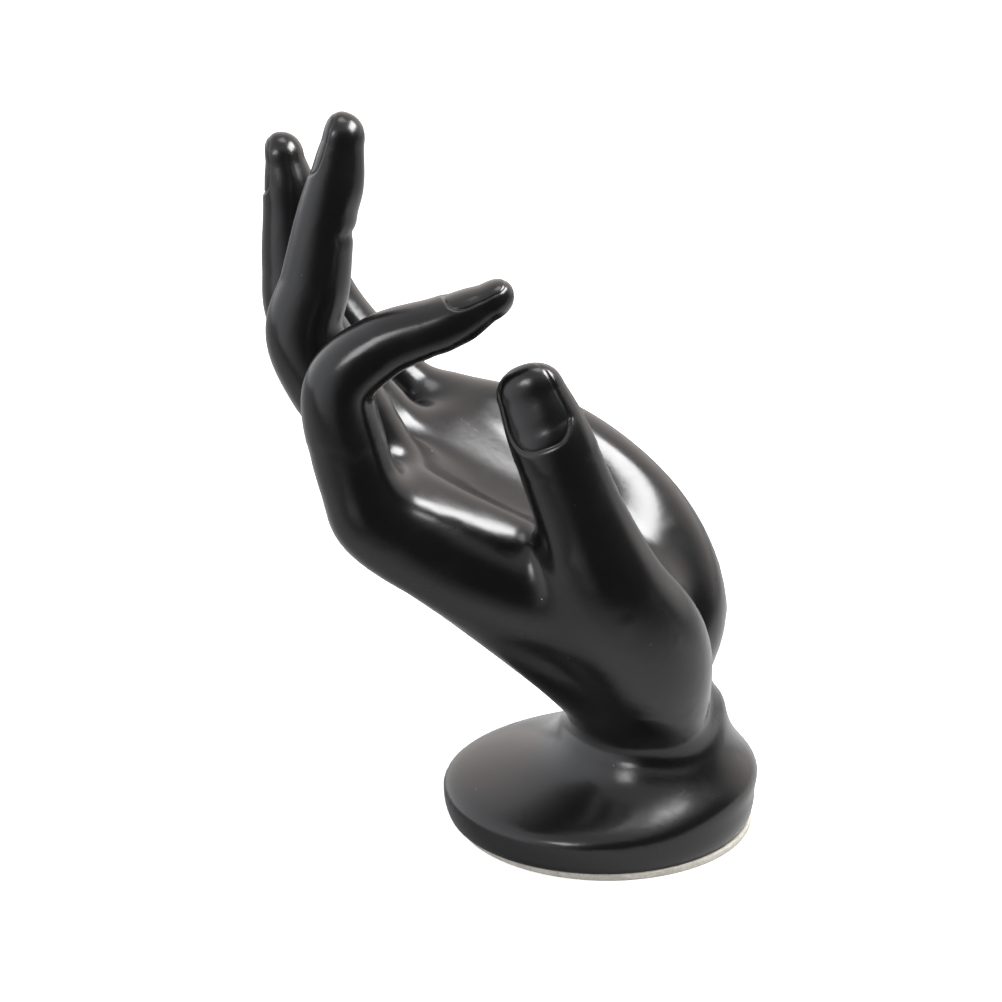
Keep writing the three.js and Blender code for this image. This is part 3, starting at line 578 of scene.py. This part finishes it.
class Wire:
    # a socket that can be added, multiplied and fed into other nodes
    def __init__(self, tree, socket=None):
        self.tree, self.socket = tree, socket

    def node(self, kind, settings=None, values=None, out=0):
        made = self.tree.nodes.new(kind)
        for key, value in (settings or {}).items():
            setattr(made, key, value)
        for key, value in (values or {}).items():
            if isinstance(value, Wire):
                self.tree.links.new(value.socket, made.inputs[key])
            else:
                made.inputs[key].default_value = value
        return Wire(self.tree, made.outputs[out])

    def maths(self, operation, a, b=0.0):
        return self.node("ShaderNodeMath", {"operation": operation}, {0: a, 1: b})

    def __add__(self, other):
        return self.maths("ADD", self, other)

    def __radd__(self, other):
        return self.maths("ADD", other, self)

    def __sub__(self, other):
        return self.maths("SUBTRACT", self, other)

    def __rsub__(self, other):
        return self.maths("SUBTRACT", other, self)

    def __mul__(self, other):
        return self.maths("MULTIPLY", self, other)

    def __rmul__(self, other):
        return self.maths("MULTIPLY", other, self)

    def __pow__(self, other):
        return self.maths("POWER", self, other)

    def __lt__(self, other):
        return self.maths("LESS_THAN", self, other)

    def __gt__(self, other):
        return self.maths("GREATER_THAN", self, other)

    def between(self, low, high):
        return self.node("ShaderNodeMapRange", {"interpolation_type": "SMOOTHSTEP"},
                         {"Value": self, "From Min": low, "From Max": high})

    def blend(self, first, second):
        return self.node("ShaderNodeMix", {"data_type": "RGBA"}, {0: self, 6: first, 7: second}, 2)


def finish(name, constants, feeds):
    # a shader with fixed sockets, and the varying ones worked out by feeds
    material = bpy.data.materials.new(name)
    material.use_nodes = True
    tree = material.node_tree
    shader = tree.nodes["Principled BSDF"]
    for key, value in constants.items():
        shader.inputs[key].default_value = value
    start = Wire(tree)
    place = start.node("ShaderNodeTexCoord", out=3)
    for key, wire in feeds(start, place).items():
        tree.links.new(wire.socket, shader.inputs[key])
    return material


def noise(start, place, scale, detail=2.0, roughness=0.5, distortion=0.0):
    return start.node("ShaderNodeTexNoise", None, {"Vector": place, "Scale": scale, "Detail": detail,
                                                   "Roughness": roughness, "Distortion": distortion})


def bumps(start, strength, distance, height):
    values = {"Strength": strength, "Distance": distance, "Height": height}
    return start.node("ShaderNodeBump", None, values)


# noises in the looks: scale, detail, roughness, distortion
lacquerLook = {"dark": (0.0028, 0.0028, 0.003, 1), "pale": (0.0055, 0.0052, 0.005, 1),
               "dust": (0.42, 0.42, 0.41, 1), "gloss": 0.19, "haze": 0.07, "smears": 0.05, "dull": 0.4,
               "cloud": (38, 4, 0.55), "smear": (130, 3, 0.6, 0.4), "smearRange": (0.45, 0.75),
               "cells": 300.0, "speckLeast": 0.012, "speckMore": 0.035, "speckPower": 3.0,
               "speckChance": 0.72, "peelNoise": (620, 2, 0.5), "peel": 0.045, "peelDepth": 0.0004,
               "speckRise": 0.6}


def lacquerFeeds(start, place):
    look = lacquerLook
    cloud = noise(start, place, *look["cloud"])
    smear = noise(start, place, *look["smear"]).between(*look["smearRange"])
    cells = {"Vector": place, "Scale": look["cells"], "Randomness": 1.0}
    near = start.node("ShaderNodeTexVoronoi", {"feature": "F1"}, cells)
    tint = start.node("ShaderNodeTexVoronoi", {"feature": "F1"}, cells, 1)
    chance = start.node("ShaderNodeSeparateColor", None, {"Color": tint})
    size = start.node("ShaderNodeSeparateColor", None, {"Color": tint}, 1)
    radius = look["speckLeast"] + look["speckMore"] * size ** look["speckPower"]
    specks = (near < radius) * (chance > look["speckChance"])
    body = cloud.blend(look["dark"], look["pale"])
    peel = noise(start, place, *look["peelNoise"])
    rough = look["gloss"] + look["haze"] * cloud + look["smears"] * smear + look["dull"] * specks
    return {"Base Color": specks.blend(body, look["dust"]), "Roughness": rough,
            "Normal": bumps(start, look["peel"], look["peelDepth"], peel + specks * look["speckRise"])}


feltLook = {"pale": (0.68, 0.645, 0.58, 1), "deep": (0.46, 0.43, 0.37, 1), "lint": (0.8, 0.78, 0.74, 1),
            "fibres": (1500, 5, 0.7, 1.6), "tufts": (260, 3, 0.6, 0.6), "lintNoise": (3200, 2, 0.5, 2.5),
            "lintRange": (0.66, 0.74), "shadeRange": (0.35, 0.65), "relief": 0.7, "depth": 0.0004}


def feltFeeds(start, place):
    look = feltLook
    fibres = noise(start, place, *look["fibres"])
    tufts = noise(start, place, *look["tufts"])
    lint = noise(start, place, *look["lintNoise"]).between(*look["lintRange"])
    shade = (fibres * 0.6 + tufts * 0.4).between(*look["shadeRange"])
    body = shade.blend(look["deep"], look["pale"])
    return {"Base Color": lint.blend(body, look["lint"]), "Roughness": 0.86 + 0.14 * fibres,
            "Normal": bumps(start, look["relief"], look["depth"], fibres + tufts * 0.7)}


plasterLook = {"pale": (0.72, 0.69, 0.61, 1), "deep": (0.52, 0.49, 0.42, 1), "grain": (900, 5, 0.65),
               "clouds": (60, 3, 0.5), "pits": 420.0, "pitRange": (0.05, 0.16), "shadeRange": (0.1, 0.65),
               "relief": 0.6, "depth": 0.0006}


def plasterFeeds(start, place):
    look = plasterLook
    grain = noise(start, place, *look["grain"])
    clouds = noise(start, place, *look["clouds"])
    cells = start.node("ShaderNodeTexVoronoi", {"feature": "F1"}, {"Vector": place, "Scale": look["pits"]})
    pits = cells.between(*look["pitRange"])
    # the colour goes to the deep tone in the pits: painted shade in the recesses, with random tone from the
    # grain and clouds elsewhere
    shade = (pits * (grain * 0.5 + clouds * 0.5)).between(*look["shadeRange"])
    return {"Base Color": shade.blend(look["deep"], look["pale"]), "Roughness": 0.8 + 0.18 * grain,
            "Normal": bumps(start, look["relief"], look["depth"], grain * 0.4 + pits)}


boardLook = {"pale": (0.40, 0.345, 0.265, 1), "deep": (0.25, 0.21, 0.155, 1),
             "fleck": (0.09, 0.085, 0.08, 1), "stretch": (1.0, 0.25, 4.0),
             "pulp": (1100, 5, 0.65, 0.8), "pulpRange": (0.3, 0.7),
             "fleckNoise": (2300, 1, 0.4, 1.5), "fleckRange": (0.7, 0.76), "relief": 0.35, "depth": 0.0003}


def boardFeeds(start, place):
    look = boardLook
    stretched = start.node("ShaderNodeMapping", None, {"Vector": place, "Scale": look["stretch"]})
    pulp = noise(start, stretched, *look["pulp"])
    fleck = noise(start, stretched, *look["fleckNoise"]).between(*look["fleckRange"])
    body = pulp.between(*look["pulpRange"]).blend(look["deep"], look["pale"])
    return {"Base Color": fleck.blend(body, look["fleck"]), "Roughness": 0.78 + 0.2 * pulp,
            "Normal": bumps(start, look["relief"], look["depth"], pulp)}


lacquer = finish("blackLacquer", {"IOR": 1.5, "Coat Weight": 0.0}, lacquerFeeds)
felt = finish("paleFelt", {"IOR": 1.4, "Sheen Weight": 0.25, "Sheen Roughness": 0.5}, feltFeeds)
plaster = finish("pouredPlaster", {"IOR": 1.45}, plasterFeeds)
board = finish("greyBoard", {"IOR": 1.45}, boardFeeds)
print("finishes: lacquer, felt, plaster, board")

hand = buildHand()
hand.data.materials.append(lacquer)
pad = buildPad()
pad.data.materials.append(felt)
for node, material in (("ballast_plug", plaster), ("closing_board", board)):
    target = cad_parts[node]
    target.data.materials.clear()
    target.data.materials.append(material)
print("pieces: hand, pad; ballast and board keep their solids")


# studio: pale table, light backdrop and soft boxes
studio = {
    "tableFront": -0.17, "tableBack": 1.6, "tableSide": 1.6, "tableColour": (0.88, 0.88, 0.88, 1),
    # table colour the hand sees, its painted shade towards the front edge, then its glow for the camera
    "tableReflected": (0.45, 0.45, 0.45, 1), "tablePaintedShade": (0.1, 0.1, 0.1, 1), "tableGlow": 0.6,
    "tableFade": (-0.17, -0.04), "tableRoughness": 0.9, "tableShine": 0.1,
    # level of the room, and what its back, left and camera sides add or take
    "roomLight": 0.8, "backLight": 0.35, "leftLight": 0.8, "gloom": 0.72,
    # each colour's level, and how the warm side changes it
    "tint": {"Red": (0.97, 0.1), "Green": (0.98, 0.02), "Blue": (1.02, -0.06)},
    "target": (-0.02, 0, 0.08),
    "boxes": [
        # name, direction from the hand (x, y, z), distance, width, height, watts
        ("keyBox", (0.584, 0.0, 0.812), 0.31, 0.22, 0.125, 2.0),
        ("leftBox", (-0.43, -0.75, 0.5), 1.5, 0.4, 0.4, 5),
        ("topBox", (0.1, 0.08, 1.0), 1.6, 0.7, 0.7, 6),
    ],
}


def buildStudio():
    s = studio
    mesh = bpy.data.meshes.new("table")
    side, front, back = s["tableSide"], s["tableFront"], s["tableBack"]
    corners = [(-side, front, 0), (side, front, 0), (side, back, 0), (-side, back, 0)]
    mesh.from_pydata(corners, [], [(0, 1, 2, 3)])
    table = bpy.data.objects.new("table", mesh)
    scene.collection.objects.link(table)
    material = bpy.data.materials.new("tableTop")
    material.use_nodes = True
    tree = material.node_tree
    start = Wire(tree)
    shader = tree.nodes["Principled BSDF"]
    seen = start.node("ShaderNodeLightPath")
    place = start.node("ShaderNodeTexCoord", out=3)
    depth = start.node("ShaderNodeSeparateXYZ", None, {"Vector": place}, 1)
    # for all rays but the camera's the table turns darker towards the front: painted shade that the hand
    # reflects
    nearness = depth.between(*s["tableFade"])
    reflected = nearness.blend(s["tablePaintedShade"], s["tableReflected"])
    tree.links.new(seen.blend(reflected, s["tableColour"]).socket, shader.inputs["Base Color"])
    tree.links.new(seen.blend((0, 0, 0, 1), (1, 1, 1, 1)).socket, shader.inputs["Emission Color"])
    shader.inputs["Emission Strength"].default_value = s["tableGlow"]
    shader.inputs["Roughness"].default_value = s["tableRoughness"]
    shader.inputs["Specular IOR Level"].default_value = s["tableShine"]
    table.data.materials.append(material)
    target = Vector(s["target"])
    for name, direction, distance, wide, high, watts in s["boxes"]:
        light = bpy.data.lights.new(name, "AREA")
        light.shape, light.size, light.size_y, light.energy = "RECTANGLE", wide, high, watts
        lamp = bpy.data.objects.new(name, light)
        scene.collection.objects.link(lamp)
        lamp.location = target + distance * Vector(direction).normalized()
        lamp.rotation_euler = Vector(direction).to_track_quat("Z", "Y").to_euler()
        lamp.visible_camera = False
    world = bpy.data.worlds.new("room")
    scene.world = world
    world.use_nodes = True
    tree = world.node_tree
    start = Wire(tree)
    background = tree.nodes["Background"]
    seen = start.node("ShaderNodeLightPath")
    ray = start.node("ShaderNodeTexCoord", out=0)
    towards = lambda x, y, z: start.node("ShaderNodeVectorMath", {"operation": "DOT_PRODUCT"},
                                         {0: ray, 1: Vector((x, y, z)).normalized()}, 1)
    overhead = towards(0, 0, 1).between(0.45, 0.75)
    gloom = towards(0.67, -0.74, 0).between(0.25, 0.65) * (1 - overhead)   # dim side, right of the camera
    behind, left = towards(0, 1, 0).between(0.2, 0.9), towards(-1, 0.1, 0).between(0.3, 0.9)
    lit = s["roomLight"] + s["backLight"] * behind + s["leftLight"] * left - s["gloom"] * gloom
    warm = towards(0.4, 0.9, 0.2).between(0.4, 0.9)
    tint = {key: lit * (level + change * warm) for key, (level, change) in s["tint"].items()}
    room = start.node("ShaderNodeCombineColor", None, tint)
    tree.links.new(seen.blend(room, (1, 1, 1, 1)).socket, background.inputs["Color"])


buildStudio()

# camera: metres and degrees, then half the frame and the focal length in pixels
view = {"aim": (-0.022, 0, 0.075), "rise": 21, "distance": 0.75, "halfFrame": 501, "focal": 3450}
camera = bpy.data.cameras.new("camera")
camera.lens_unit = "FOV"
camera.angle = 2 * math.atan(view["halfFrame"] / view["focal"])
eye = bpy.data.objects.new("camera", camera)
scene.collection.objects.link(eye)
rise = math.radians(view["rise"])
back = Vector((0, -math.cos(rise), math.sin(rise)))
eye.location = Vector(view["aim"]) + view["distance"] * back
eye.rotation_euler = back.to_track_quat("Z", "Y").to_euler()
scene.camera = eye
print("studio: table, three soft boxes, room and camera")
